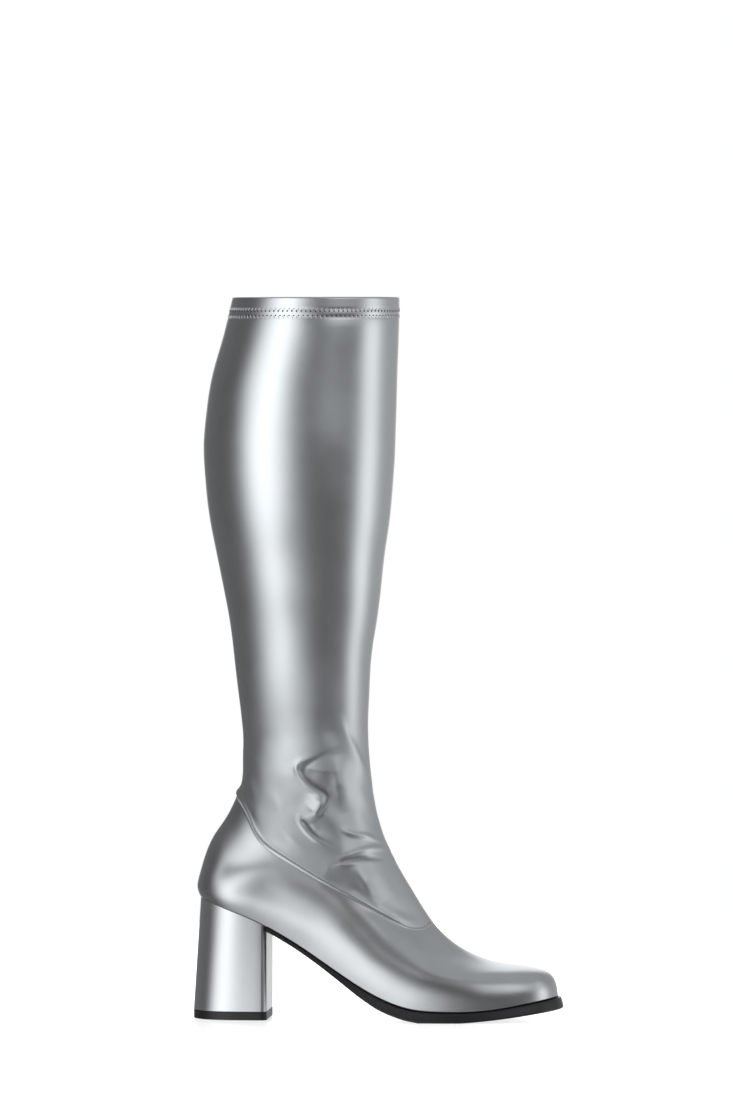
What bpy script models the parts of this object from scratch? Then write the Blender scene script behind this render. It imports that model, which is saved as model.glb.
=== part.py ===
# Go go boot for the right foot: foot upper, shaft, insole, outsole, block heel and its top piece.
# Metres, +Z up. +X runs to the toe and +Y to the wearer's left, the inner side of a right boot.
# The origin is on the floor, under the middle of the whole boot's box.

import math

import bmesh
import bpy
import numpy as np

# Sizes of the whole boot
LENGTH = 0.2375            # back of the heel's foot to the sole's tip
HEIGHT = 0.4620            # floor to the collar's edge
HEEL_HEIGHT = 0.0778       # floor to the back of the heel seat
TOE_SPRING = 0.0079        # lift of the sole's tip over the floor
BALL_WIDTH = 0.082         # across the upper where it meets the sole, at the ball
CLEARANCE = 0.0003         # left between two pieces that meet

# Foot upper and shaft
FOOT_WALL = 0.0016
SHAFT_WALL = 0.0012
SWELL = 0.003              # how far the foot's side bellies past a straight side
SEAM_BACK_X = 0.0278       # top of the seam between foot and shaft, at the back
SEAM_BACK_HEIGHT = 0.1426
SEAM_FRONT_X = 0.1529      # the same seam where it crosses the instep
SEAM_FRONT_HEIGHT = 0.0626
SEAM_WIDTH = 0.068
ANKLE_HEIGHT = 0.183
ANKLE_DEPTH = 0.0805
ANKLE_WIDTH = 0.063
ANKLE_FRONT = 0.1121
CALF_HEIGHT = 0.368
CALF_DEPTH = 0.1230
CALF_WIDTH = 0.108
CALF_FRONT = 0.1296
COLLAR_DEPTH = 0.1068
COLLAR_WIDTH = 0.103
COLLAR_FRONT = 0.1321
HEM_DEPTH = 0.013          # the shaft's edge is folded in this deep
HEM_WALL = 0.0024          # and is two layers thick there

# Sole, insole, heel
SOLE_EDGE = 0.0067         # height of the sole's edge under the ball
ARCH_EDGE = 0.0030         # the same under the arch, measured upright
SOLE_PROUD = 0.0008        # the sole's top stands this far out from the upper
SOLE_FLARE = 0.0014        # and its foot this much further
SOLE_TOE_PROUD = 0.0013    # extra at the tip
SOLE_CHAMFER = 0.0006
TREAD_BACK_X = 0.146       # the flat that the forefoot stands on
TREAD_FRONT_X = 0.172
SPRING_CURVE = 1.4         # 1 would lift the toe in a straight line
INSOLE_THICK = 0.002
SEAT_BACK_X = 0.0043       # the seat's back stands this far in from the heel's foot
BREAST_X = 0.0488          # the heel's flat front
HEEL_TUCK = 0.0003         # the heel's top is this far inside the upper's edge
HEEL_FOOT_WIDTH = 0.052
TOP_PIECE_HEIGHT = 0.0052
HEEL_EDGE_ROUND = 0.0009
TOP_PIECE_ROUND = 0.0006

# How fine the faceted surfaces are
COLUMNS = 60
FOOT_ROWS = 13
SHAFT_ROWS = 21
ROW_BUNCHING = 1.2         # above 1, the shaft's rows lie closer together towards the instep
HEEL_ROWS = 4
FINE = 240                 # places along a curve from which points are picked
CORNER_TURN = 1.0          # no column lies nearer than this many degrees to the breast's corners
SHARP_ANGLE = math.radians(50)

# Turn round the boot in degrees: 0 at the back, 90 on the side, 180 at the front.
# Feather edge: how far along the foot, half width outside and inside as shares of half the
# ball width, and the lift as shares of the heel's and the toe's.
# Seam: how far from its back to its front, how high between the two, and its half width.
STATIONS = (
    # turn, along, outer, inner, heel lift, toe lift, seam along, seam up, seam half width
    (0, 0.000, 0.00, 0.00, 1.000, 0.00, 0.000, 1.000, 0.00),
    (20, 0.014, 0.33, 0.33, 0.988, 0.00, 0.032, 0.946, 0.38),
    (36, 0.040, 0.54, 0.54, 0.960, 0.00, 0.081, 0.826, 0.63),
    (52, 0.088, 0.66, 0.67, 0.900, 0.00, 0.137, 0.678, 0.81),
    (72, 0.180, 0.69, 0.68, 0.775, 0.00, 0.279, 0.522, 0.95),
    (88, 0.295, 0.72, 0.62, 0.560, 0.00, 0.429, 0.380, 1.00),
    (104, 0.430, 0.84, 0.70, 0.270, 0.00, 0.593, 0.236, 1.00),
    (124, 0.600, 0.99, 0.91, 0.022, 0.00, 0.733, 0.104, 0.90),
    (134, 0.688, 1.01, 0.98, 0.000, 0.00, 0.793, 0.047, 0.82),
    (145, 0.790, 0.94, 0.99, 0.000, 0.06, 0.857, -0.007, 0.70),
    (162, 0.945, 0.60, 0.70, 0.000, 0.72, 0.948, -0.042, 0.40),
    (180, 1.000, 0.00, 0.00, 0.000, 1.00, 1.000, 0.000, 0.00),
)

# How the foot's side climbs from the feather edge to the seam, at six turns.
# Each step holds the share of the way in, the share of the way up and the belly.
RIBS = (
    # turn, five steps of (in, up, belly)
    (0, (-0.08, 0.09, 0.0), (-0.03, 0.21, 0.0), (0.14, 0.417, 0.0), (0.39, 0.617, 0.0), (0.75, 0.81, 0.0)),
    (52, (-0.02, 0.09, 0.5), (0.00, 0.21, 0.9), (0.15, 0.417, 1.0), (0.40, 0.617, 0.8), (0.74, 0.81, 0.4)),
    (88, (0.05, 0.12, 0.4), (0.16, 0.27, 0.8), (0.40, 0.50, 1.0), (0.61, 0.68, 0.9), (0.82, 0.85, 0.5)),
    (124, (0.03, 0.13, 0.5), (0.12, 0.28, 0.9), (0.38, 0.50, 1.2), (0.62, 0.69, 1.0), (0.83, 0.86, 0.5)),
    (162, (0.015, 0.17, 0.2), (0.09, 0.34, 0.3), (0.36, 0.45, 0.3), (0.60, 0.55, 0.2), (0.83, 0.74, 0.1)),
    (180, (0.018, 0.17, 0.0), (0.085, 0.325, 0.0), (0.37, 0.43, 0.0), (0.60, 0.515, 0.0), (0.835, 0.725, 0.0)),
)

# Rings between the seam and the ankle: shares of the way from one to the other, for the
# front and the back of the ring, then how far it has turned from the seam's shape to an oval.
BENDS = (
    # front up, front in, back up, back in, oval
    (0.112, 0.218, 0.092, 0.50, 0.12),
    (0.285, 0.521, 0.241, 0.84, 0.35),
    (0.495, 0.797, 0.453, 0.97, 0.62),
    (0.734, 0.939, 0.700, 1.00, 0.85),
    (1.000, 1.000, 1.000, 1.00, 1.00),
)

# Level rings of the leg. Each number runs from 0 at the ankle by 1 at the calf to 2 at the collar.
LEG_RINGS = (
    # height, girth, front line
    (0.129, 0.076, 0.034),
    (0.253, 0.169, 0.109),
    (0.377, 0.312, 0.293),
    (0.502, 0.490, 0.477),
    (0.626, 0.655, 0.620),
    (0.751, 0.838, 0.805),
    (0.876, 0.945, 0.920),
    (1.000, 1.000, 1.000),
    (1.163, 1.050, 1.180),
    (1.408, 1.210, 1.400),
    (1.571, 1.410, 1.600),
    (1.735, 1.650, 1.850),
    (1.897, 1.860, 2.030),
    (2.000, 2.000, 2.000),
)

# Roundness of a level ring: above 0 it is fuller at the back, below 0 at the front.
EGG_ANKLE = -0.06
EGG_CALF = 0.10
EGG_COLLAR = 0.06

# Height of the sole's edge from the breast to the tread, 0 being the arch's and 1 the ball's.
ARCH_LINE = (
    # along, edge
    (0.00, 0.00),
    (0.22, 0.00),
    (0.36, 0.10),
    (0.48, 0.35),
    (0.60, 0.78),
    (0.74, 1.18),
    (1.00, 1.18),
)


def clear_scene():
    for thing in list(bpy.data.objects):
        bpy.data.objects.remove(thing, do_unlink=True)


def collection(name):
    group = bpy.data.collections.new(name)
    bpy.context.scene.collection.children.link(group)
    return group


def material(name, colour, roughness, metallic):
    finish = bpy.data.materials.new(name)
    finish.use_nodes = True
    shader = finish.node_tree.nodes["Principled BSDF"]
    shader.inputs["Base Color"].default_value = (*colour, 1.0)
    shader.inputs["Roughness"].default_value = roughness
    shader.inputs["Metallic"].default_value = metallic
    return finish


def smooth(keys, values, at):
    """Read, at each place in `at`, the natural cubic curve that passes through values at keys."""
    keys = np.asarray(keys, float)
    values = np.asarray(values, float).reshape(len(keys), -1)
    at = np.asarray(at, float)
    step = np.diff(keys)
    slope = np.diff(values, axis=0) / step[:, None]
    system = np.eye(len(keys))
    pull = np.zeros_like(values)
    for i in range(1, len(keys) - 1):
        system[i, i - 1:i + 2] = (step[i - 1], 2 * (step[i - 1] + step[i]), step[i])
        pull[i] = 6 * (slope[i] - slope[i - 1])
    bend = np.linalg.solve(system, pull)
    span = np.clip(np.searchsorted(keys, at, side="right") - 1, 0, len(keys) - 2)
    width = step[span][:, None]
    before = (at - keys[span])[:, None] / width
    after = 1.0 - before
    line = after * values[span] + before * values[span + 1]
    sag = (after ** 3 - after) * bend[span] + (before ** 3 - before) * bend[span + 1]
    return line + sag * width ** 2 / 6


def smooth_round(turns, values, at):
    """The same curve closed on itself after a full turn of 360 degrees."""
    turns = np.asarray(turns, float)
    values = np.asarray(values, float).reshape(len(turns), -1)
    keys = np.concatenate((turns - 360, turns, turns + 360))
    return smooth(keys, np.concatenate((values, values, values)), at)


def leg_size(place, ankle, calf, collar):
    return np.interp(place, (0, 1, 2), (ankle, calf, collar))


def round_turns():
    """The stations' turns all the way round: down the outer side, then back by the inner side."""
    outer = [row[0] for row in STATIONS]
    return np.array(outer + [360 - turn for turn in reversed(outer[1:-1])], float)


def both_sides(outer, inner):
    """One value for each turn of round_turns(), from the two sides' columns."""
    return np.array(list(outer) + list(inner)[-2:0:-1], float)


def feather_tip():
    return LENGTH - SOLE_PROUD - SOLE_FLARE - SOLE_TOE_PROUD


def feather_stations():
    """The edge where the upper meets the sole, at the stations."""
    span = feather_tip() - SEAT_BACK_X
    half = BALL_WIDTH / 2
    columns = np.array(STATIONS).T
    x = SEAT_BACK_X + span * columns[1]
    z = SOLE_EDGE + (HEEL_HEIGHT - SOLE_EDGE) * columns[4] + TOE_SPRING * columns[5]
    y = both_sides(-half * columns[2], half * columns[3])
    return np.stack((both_sides(x, x), y, both_sides(z, z)), axis=1)


def seam_stations():
    """The seam between foot and shaft, at the stations."""
    columns = np.array(STATIONS).T
    x = SEAM_BACK_X + (SEAM_FRONT_X - SEAM_BACK_X) * columns[6]
    z = SEAM_FRONT_HEIGHT + (SEAM_BACK_HEIGHT - SEAM_FRONT_HEIGHT) * columns[7]
    y = SEAM_WIDTH / 2 * columns[8]
    return np.stack((both_sides(x, x), both_sides(-y, y), both_sides(z, z)), axis=1)


def outward(loop, turns):
    """Unit directions that point out of a closed loop in plan, at the given turns."""
    nudge = 0.5
    ahead = smooth_round(round_turns(), loop, turns + nudge)
    behind = smooth_round(round_turns(), loop, turns - nudge)
    along = (ahead - behind)[:, :2]
    along /= np.linalg.norm(along, axis=1)[:, None]
    return np.stack((along[:, 1], -along[:, 0], np.zeros(len(turns))), axis=1)


def foot_rings():
    """Rings from the feather edge up to just under the seam."""
    turns = round_turns()
    feather = feather_stations()
    seam = seam_stations()
    out = outward(feather, turns)
    rib_turns = [row[0] for row in RIBS]
    mirrored = rib_turns + [360 - turn for turn in reversed(rib_turns[1:-1])]
    rings = [feather]
    for step in range(1, len(RIBS[0])):
        shares = [row[step] for row in RIBS]
        shares = shares + shares[-2:0:-1]
        inward, up, belly = smooth_round(mirrored, shares, turns).T
        ring = feather + (seam - feather) * np.stack((inward, inward, up), axis=1)
        rings.append(ring + out * (belly * SWELL)[:, None])
    return rings


def oval(back_x, front_x, height, half_width, egg):
    """A level ring of the leg at the stations' turns."""
    turns = np.radians(round_turns())
    x = (back_x + front_x) / 2 - (front_x - back_x) / 2 * np.cos(turns)
    y = -half_width * np.sin(turns) * (1 + egg * np.cos(turns))
    return np.stack((x, y, np.full(len(turns), height)), axis=1)


def bend_rings():
    """Rings that turn from the slanting seam to the level ankle."""
    seam = seam_stations()
    back = np.array((SEAM_BACK_X, 0.0, SEAM_BACK_HEIGHT))
    front = np.array((SEAM_FRONT_X, 0.0, SEAM_FRONT_HEIGHT))
    seam_share = (seam - back) / (front - back + (0.0, 1.0, 0.0))
    ankle_share = (1 - np.cos(np.radians(round_turns()))) / 2
    rings = []
    for front_up, front_in, back_up, back_in, oval_share in BENDS:
        back_x = SEAM_BACK_X + (ANKLE_FRONT - ANKLE_DEPTH - SEAM_BACK_X) * back_in
        back_z = SEAM_BACK_HEIGHT + (ANKLE_HEIGHT - SEAM_BACK_HEIGHT) * back_up
        front_x = SEAM_FRONT_X + (ANKLE_FRONT - SEAM_FRONT_X) * front_in
        front_z = SEAM_FRONT_HEIGHT + (ANKLE_HEIGHT - SEAM_FRONT_HEIGHT) * front_up
        along = seam_share[:, 0] + (ankle_share - seam_share[:, 0]) * oval_share
        down = seam_share[:, 2] + (ankle_share - seam_share[:, 2]) * oval_share
        level = oval(0.0, 1.0, 0.0, ANKLE_WIDTH / 2, EGG_ANKLE)
        y = seam[:, 1] + (level[:, 1] - seam[:, 1]) * oval_share
        x = back_x + (front_x - back_x) * along
        z = back_z + (front_z - back_z) * down
        rings.append(np.stack((x, y, z), axis=1))
    return rings


def leg_rings():
    rings = []
    for height, girth, front in LEG_RINGS:
        front_x = leg_size(front, ANKLE_FRONT, CALF_FRONT, COLLAR_FRONT)
        depth = leg_size(girth, ANKLE_DEPTH, CALF_DEPTH, COLLAR_DEPTH)
        half_width = leg_size(girth, ANKLE_WIDTH, CALF_WIDTH, COLLAR_WIDTH) / 2
        egg = leg_size(girth, EGG_ANKLE, EGG_CALF, EGG_COLLAR)
        level = leg_size(height, ANKLE_HEIGHT, CALF_HEIGHT, HEIGHT)
        rings.append(oval(front_x - depth, front_x, level, half_width, egg))
    return rings


def column_turns():
    """Turns of the mesh's columns, spaced evenly along the mean of feather edge and ankle."""
    fine = np.linspace(0.0, 180.0, FINE)
    loops = (feather_stations(), bend_rings()[-1])
    length = np.zeros(len(fine))
    for loop in loops:
        points = smooth_round(round_turns(), loop, fine)
        length[1:] += np.cumsum(np.linalg.norm(np.diff(points, axis=0), axis=1))
    half = np.interp(np.linspace(0.0, length[-1], COLUMNS // 2 + 1), length, fine)
    return np.concatenate((half, 360 - half[-2:0:-1]))


def last_surface(turns):
    """Columns of the outer surface, finely spaced from feather edge to collar, with their
    lengths measured from the seam."""
    rings = foot_rings()
    seam_level = len(rings)
    rings = np.array(rings + [seam_stations()] + bend_rings() + leg_rings())
    gaps = np.linalg.norm(np.diff(rings, axis=0), axis=2).mean(axis=1)
    levels = np.concatenate(((0.0,), np.cumsum(gaps)))
    levels -= levels[seam_level]
    around = np.array([smooth_round(round_turns(), ring, turns) for ring in rings])
    below = np.linspace(levels[0], 0.0, FINE)
    above = np.linspace(0.0, levels[-1], FINE)
    fine = np.concatenate((below, above[1:]))
    columns = smooth(levels, around.reshape(len(levels), -1), fine).reshape(len(fine), len(turns), 3)
    steps = np.linalg.norm(np.diff(columns, axis=0), axis=2)
    lengths = np.concatenate((np.zeros((1, len(turns))), np.cumsum(steps, axis=0)))
    return columns, lengths - lengths[FINE - 1]


def pick_rows(columns, lengths, places):
    """Points on each column at the wanted lengths from the seam; places is rows by columns."""
    rows = np.empty((len(places), columns.shape[1], 3))
    for column in range(columns.shape[1]):
        for axis in range(3):
            rows[:, column, axis] = np.interp(places[:, column], lengths[:, column], columns[:, column, axis])
    return rows


def centred(points):
    """Move points from the heel's foot at x = 0 to the middle of the boot's length."""
    return np.asarray(points, float) - (LENGTH / 2, 0.0, 0.0)


def add_mesh(name, vertices, faces, finish, group):
    mesh = bpy.data.meshes.new(name)
    mesh.from_pydata([tuple(point) for point in centred(vertices)], [], faces)
    form = bmesh.new()
    form.from_mesh(mesh)
    bmesh.ops.recalc_face_normals(form, faces=form.faces)
    form.to_mesh(mesh)
    form.free()
    mesh.materials.append(finish)
    thing = bpy.data.objects.new(name, mesh)
    group.objects.link(thing)
    return thing


def tube_faces(rows, columns):
    """Quads of an open tube whose normals point outwards, row 0 being the lowest."""
    faces = []
    for row in range(rows - 1):
        for column in range(columns):
            after = (column + 1) % columns
            low, high = row * columns, (row + 1) * columns
            faces.append((low + column, low + after, high + after, high + column))
    return faces


def shell(name, rows, wall, finish, group):
    """An open tube given its wall on the inner side."""
    mesh = bpy.data.meshes.new(name)
    points = centred(rows.reshape(-1, 3))
    mesh.from_pydata([tuple(point) for point in points], [], tube_faces(*rows.shape[:2]))
    mesh.materials.append(finish)
    thing = bpy.data.objects.new(name, mesh)
    group.objects.link(thing)
    solid = thing.modifiers.new("wall", "SOLIDIFY")
    solid.thickness = wall
    solid.offset = -1.0
    solid.use_even_offset = True
    solid.use_quality_normals = True
    mesh.shade_smooth()
    return thing


def foot_rows(turns):
    """Rows of the foot's outer surface, from the feather edge to the seam."""
    columns, lengths = last_surface(turns)
    shares = np.linspace(0.0, 1.0, FOOT_ROWS)[:, None]
    return pick_rows(columns, lengths, lengths[0] + (-CLEARANCE / 2 - lengths[0]) * shares)


def foot_upper(turns, finish, group):
    return shell("foot_upper", foot_rows(turns), FOOT_WALL, finish, group)


def shaft(turns, finish, group):
    columns, lengths = last_surface(turns)
    hem = lengths[-1] - HEM_DEPTH
    shares = np.linspace(0.0, 1.0, SHAFT_ROWS)[:, None] ** ROW_BUNCHING
    places = CLEARANCE / 2 + (hem - SHAFT_WALL - CLEARANCE / 2) * shares
    places = np.concatenate((places, (hem, hem + HEM_DEPTH / 2, lengths[-1])))
    rows = pick_rows(columns, lengths, places)
    thing = shell("shaft", rows, HEM_WALL, finish, group)
    wall = thing.modifiers["wall"]
    layers = thing.vertex_groups.new(name="layers")
    folded = SHAFT_ROWS * COLUMNS
    layers.add(range(folded), SHAFT_WALL / HEM_WALL, "REPLACE")
    layers.add(range(folded, len(thing.data.vertices)), 1.0, "REPLACE")
    wall.vertex_group = layers.name
    return thing


def feather_at(turns):
    return smooth_round(round_turns(), feather_stations(), turns)


def offset_feather(turns, distance):
    """The feather edge moved out by a distance, or in where it is negative."""
    return feather_at(turns) + outward(feather_stations(), turns) * np.reshape(distance, (-1, 1))


def rungs(count, pointed):
    """Faces across a closed loop, joining its outer side to its inner side point by point.
    A pointed loop starts with one point of its own, which both sides share."""
    last = count if pointed else count - 1
    faces = []
    for i in range(last // 2):
        corners = (i, i + 1, last - i - 1, (last - i) % count)
        faces.append(tuple(dict.fromkeys(corners)))
    return faces


def stacked(name, loops, finish, group, pointed=False):
    """A solid from closed loops, one above the other, closed across the lowest and the highest."""
    count = len(loops[0])
    faces = tube_faces(len(loops), count)
    top = (len(loops) - 1) * count
    for rung in rungs(count, pointed):
        faces.append(rung)
        faces.append(tuple(top + corner for corner in rung))
    return add_mesh(name, np.concatenate(loops), faces, finish, group)


def turn_at(x, low, high):
    """The turn between low and high where the feather edge stands at x."""
    turns = np.linspace(low, high, FINE)
    along = feather_at(turns)[:, 0]
    order = np.argsort(along)
    return float(np.interp(x, along[order], turns[order]))


def between(turns, low, high):
    return [turn for turn in turns if low < turn < high]


def sole_turns(turns):
    outer = turn_at(BREAST_X + CLEARANCE, 0.0, 180.0)
    inner = 360 - turn_at(BREAST_X + CLEARANCE, 360.0, 180.0)
    outer_side = between(turns, outer + CORNER_TURN, 180.0)
    scaled = [inner + (turn - outer) * (180 - inner) / (180 - outer) for turn in outer_side]
    return np.array([outer] + outer_side + [180.0] + [360 - turn for turn in reversed(scaled)] + [360 - inner])


def underside(x, feather_z):
    """Height of the sole's underside at x, flat under the tread."""
    along, edge = np.array(ARCH_LINE).T
    place = (x - BREAST_X) / (TREAD_BACK_X - BREAST_X)
    thick = ARCH_EDGE + (SOLE_EDGE - ARCH_EDGE) * np.interp(place, along, edge)
    spring = np.clip((x - TREAD_FRONT_X) / (LENGTH - TREAD_FRONT_X), 0.0, 1.0) ** SPRING_CURVE
    return np.where(place < 1.0, np.maximum(feather_z - thick, 0.0), TOE_SPRING * spring)


def outsole(turns, finish, group):
    turns = sole_turns(turns)
    edge = feather_at(turns)
    toward_tip = np.clip((edge[:, 0] - TREAD_FRONT_X) / (feather_tip() - TREAD_FRONT_X), 0.0, 1.0) ** 2
    proud = SOLE_PROUD + SOLE_TOE_PROUD * toward_tip
    low = underside(edge[:, 0], edge[:, 2])
    high = edge[:, 2] - CLEARANCE
    loops = []
    for distance, height in (
        (proud + SOLE_FLARE - SOLE_CHAMFER, low),
        (proud + SOLE_FLARE, low + SOLE_CHAMFER),
        (proud, high),
    ):
        loop = offset_feather(turns, distance)
        loop[:, 2] = height
        for end in (0, -1):
            loop[end, 0] = BREAST_X + CLEARANCE
        loops.append(loop)
    return stacked("outsole", loops, finish, group)


def insole(turns, finish, group):
    edge, wall = foot_rows(turns)[:2]
    lean = ((wall - edge) * outward(feather_stations(), turns)).sum(axis=1) / (wall - edge)[:, 2]
    inset = FOOT_WALL * np.hypot(1.0, lean) + CLEARANCE - np.minimum(lean, 0.0) * INSOLE_THICK
    low = offset_feather(turns, -inset)
    high = low + (0.0, 0.0, INSOLE_THICK)
    return stacked("insole", [low, high], finish, group, pointed=True)


def seat_turns(turns):
    outer = turn_at(BREAST_X, 0.0, 180.0)
    inner = 360 - turn_at(BREAST_X, 360.0, 180.0)
    outer_side = between(turns, 0.0, outer - CORNER_TURN)
    scaled = [turn * inner / outer for turn in outer_side]
    return np.array([outer] + outer_side[::-1] + [0.0] + [-turn for turn in scaled] + [-inner])


def heel_outline(turns, down):
    """The heel's outline between its seat, down 0, and its foot, down 1."""
    top = offset_feather(turns, -HEEL_TUCK)
    top[[0, -1], 0] = BREAST_X
    share = (top[:, 0] - top[:, 0].min()) / (BREAST_X - top[:, 0].min())
    foot = top.copy()
    foot[:, 0] = BREAST_X * share
    foot[:, 1] *= HEEL_FOOT_WIDTH / np.ptp(top[:, 1])
    return top + (foot - top) * down


def heel(turns, finish, group):
    turns = seat_turns(turns)
    seat = feather_at(turns)[:, 2] - CLEARANCE
    foot = TOP_PIECE_HEIGHT + CLEARANCE
    loops = []
    for row in range(HEEL_ROWS + 1):
        down = 1.0 - row / HEEL_ROWS
        loop = heel_outline(turns, down)
        loop[:, 2] = seat + (foot - seat) * down
        loops.append(loop)
    thing = stacked("heel", loops, finish, group)
    round_edges(thing, HEEL_EDGE_ROUND)
    return thing


def heel_top_piece(turns, finish, group):
    turns = seat_turns(turns)
    loops = []
    for height in (0.0, TOP_PIECE_HEIGHT):
        loop = heel_outline(turns, 1.0)
        loop[:, 2] = height
        loops.append(loop)
    thing = stacked("heel_top_piece", loops, finish, group)
    round_edges(thing, TOP_PIECE_ROUND)
    return thing


def round_edges(thing, width):
    bevel = thing.modifiers.new("edges", "BEVEL")
    bevel.width = width
    bevel.segments = 1
    bevel.limit_method = "ANGLE"
    bevel.angle_limit = SHARP_ANGLE
    bevel.use_clamp_overlap = True


def build():
    clear_scene()
    group = collection("go_go_boot")
    silver = material("silver", (0.56, 0.57, 0.58), 0.28, 1.0)
    shaft_silver = material("shaft_silver", (0.56, 0.57, 0.58), 0.28, 1.0)
    heel_silver = material("heel_silver", (0.56, 0.57, 0.58), 0.26, 1.0)
    sole_black = material("sole_black", (0.02, 0.02, 0.022), 0.45, 0.0)
    top_piece_black = material("top_piece_black", (0.025, 0.025, 0.027), 0.5, 0.0)
    sock = material("insole_grey", (0.32, 0.32, 0.33), 0.7, 0.0)
    turns = column_turns()
    foot_upper(turns, silver, group)
    shaft(turns, shaft_silver, group)
    insole(turns, sock, group)
    outsole(turns, sole_black, group)
    heel(turns, heel_silver, group)
    heel_top_piece(turns, top_piece_black, group)


build()
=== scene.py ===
# %% [markdown]
# # A silver go go boot
# The boot is a knee-high stretch boot in silver coated cloth, on a block heel. Everything here is built
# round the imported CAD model, which is loaded first and never moved. A learner could also start from an
# imported picture and push vertices about, but then nothing would fit the solids that carry it.

# %% The CAD frame
import math

import bpy
import numpy as np
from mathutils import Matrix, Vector, noise


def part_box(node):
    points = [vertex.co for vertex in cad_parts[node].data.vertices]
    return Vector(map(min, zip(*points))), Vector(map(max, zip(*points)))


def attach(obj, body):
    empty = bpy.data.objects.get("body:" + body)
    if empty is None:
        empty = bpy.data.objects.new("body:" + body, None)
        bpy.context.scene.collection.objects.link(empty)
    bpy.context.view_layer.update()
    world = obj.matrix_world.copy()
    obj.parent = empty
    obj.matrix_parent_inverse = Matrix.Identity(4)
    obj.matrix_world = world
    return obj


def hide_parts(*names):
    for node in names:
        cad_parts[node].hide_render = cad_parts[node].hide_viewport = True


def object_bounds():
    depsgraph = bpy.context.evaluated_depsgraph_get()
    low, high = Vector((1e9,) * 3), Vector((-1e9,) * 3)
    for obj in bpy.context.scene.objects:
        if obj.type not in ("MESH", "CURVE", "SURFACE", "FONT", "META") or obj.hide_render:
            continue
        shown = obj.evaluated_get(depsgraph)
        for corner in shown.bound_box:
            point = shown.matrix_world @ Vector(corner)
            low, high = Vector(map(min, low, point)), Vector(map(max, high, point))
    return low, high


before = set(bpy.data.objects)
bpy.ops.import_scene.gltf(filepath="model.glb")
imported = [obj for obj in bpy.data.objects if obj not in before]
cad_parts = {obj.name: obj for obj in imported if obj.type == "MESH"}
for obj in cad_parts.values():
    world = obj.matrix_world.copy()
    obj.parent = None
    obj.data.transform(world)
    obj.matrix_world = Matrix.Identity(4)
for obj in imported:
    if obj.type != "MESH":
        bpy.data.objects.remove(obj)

cad_low, cad_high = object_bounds()
print("CAD box in mm:", [round(1000 * (b - a), 1) for a, b in zip(cad_low, cad_high)])

# %% [markdown]
# ## The sizes that carry the boot
# A bootmaker starts from a last, a solid foot and leg, and measures along it. The same few sizes carry
# this model: length and height are read from the CAD box, and the rest are the boot's own measures in
# metres. They could be measured off the CAD vertices one by one, but named sizes are easier to read.

# %% Sizes
LENGTH = cad_high[0] - cad_low[0]
HEIGHT = cad_high[2] - cad_low[2]
HEEL_HEIGHT = 0.0778
TOE_SPRING = 0.0079
BALL_WIDTH = 0.082
GAP = 0.0003
FOOT_WALL = 0.0016
SHAFT_WALL = 0.0012
SWELL = 0.003
SEAM_BACK = (0.0278, 0.1426)
SEAM_FRONT = (0.1529, 0.0626)
SEAM_WIDTH = 0.068
ANKLE = {"height": 0.183, "depth": 0.0805, "width": 0.063, "front": 0.1121, "egg": -0.06}
CALF = {"height": 0.368, "depth": 0.1230, "width": 0.108, "front": 0.1296, "egg": 0.10}
COLLAR = {"height": HEIGHT, "depth": 0.1068, "width": 0.103, "front": 0.1321, "egg": 0.06}
HEM_DEPTH = 0.013
HEM_WALL = 0.0024
SOLE_EDGE = 0.0067
ARCH_EDGE = 0.0030
SOLE_PROUD = 0.0008
SOLE_FLARE = 0.0014
SOLE_TOE_PROUD = 0.0013
SEAT_BACK_X = 0.0043
BREAST_X = 0.0488
HEEL_TUCK = 0.0003
HEEL_FOOT_WIDTH = 0.052
TOP_PIECE_HEIGHT = 0.0052
TREAD_BACK_X = 0.146
TREAD_FRONT_X = 0.172
SPRING_CURVE = 1.4
for name in ("foot_upper", "shaft", "heel", "outsole"):
    low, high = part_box(name)
    print(name, "in mm:", [round(1000 * (b - a), 1) for a, b in zip(low, high)])

# %% [markdown]
# ## Tables of the last
# Each row belongs to one turn round the boot in degrees: 0 at the back, 90 on the outer side, 180 at the
# front. The numbers are shares of the sizes above, so the shape can be read like a pattern card. Sculpting
# would also give a last, but its shape could not be explained in words.

# %% Feather edge and seam
STATIONS = np.array((
    # turn, along, outer, inner, heel lift, toe lift, seam along, seam up, seam half width
    (0, 0.000, 0.00, 0.00, 1.000, 0.00, 0.000, 1.000, 0.00),
    (20, 0.014, 0.33, 0.33, 0.988, 0.00, 0.032, 0.946, 0.38),
    (36, 0.04, 0.54, 0.54, 0.96, 0.00, 0.081, 0.826, 0.63),
    (52, 0.088, 0.66, 0.67, 0.9, 0.00, 0.137, 0.678, 0.81),
    (72, 0.18, 0.69, 0.68, 0.775, 0.00, 0.279, 0.522, 0.95),
    (88, 0.295, 0.72, 0.62, 0.56, 0.00, 0.429, 0.38, 1.00),
    (104, 0.43, 0.84, 0.7, 0.27, 0.00, 0.593, 0.236, 1.00),
    (124, 0.6, 0.99, 0.91, 0.022, 0.00, 0.733, 0.104, 0.9),
    (134, 0.688, 1.01, 0.98, 0.000, 0.00, 0.793, 0.047, 0.82),
    (145, 0.79, 0.94, 0.99, 0.000, 0.06, 0.857, -0.007, 0.7),
    (162, 0.945, 0.6, 0.7, 0.000, 0.72, 0.948, -0.042, 0.4),
    (180, 1.000, 0.00, 0.00, 0.000, 1.00, 1.000, 0.000, 0.00),
)).T
print("stations on each side:", STATIONS.shape[1])

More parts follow.
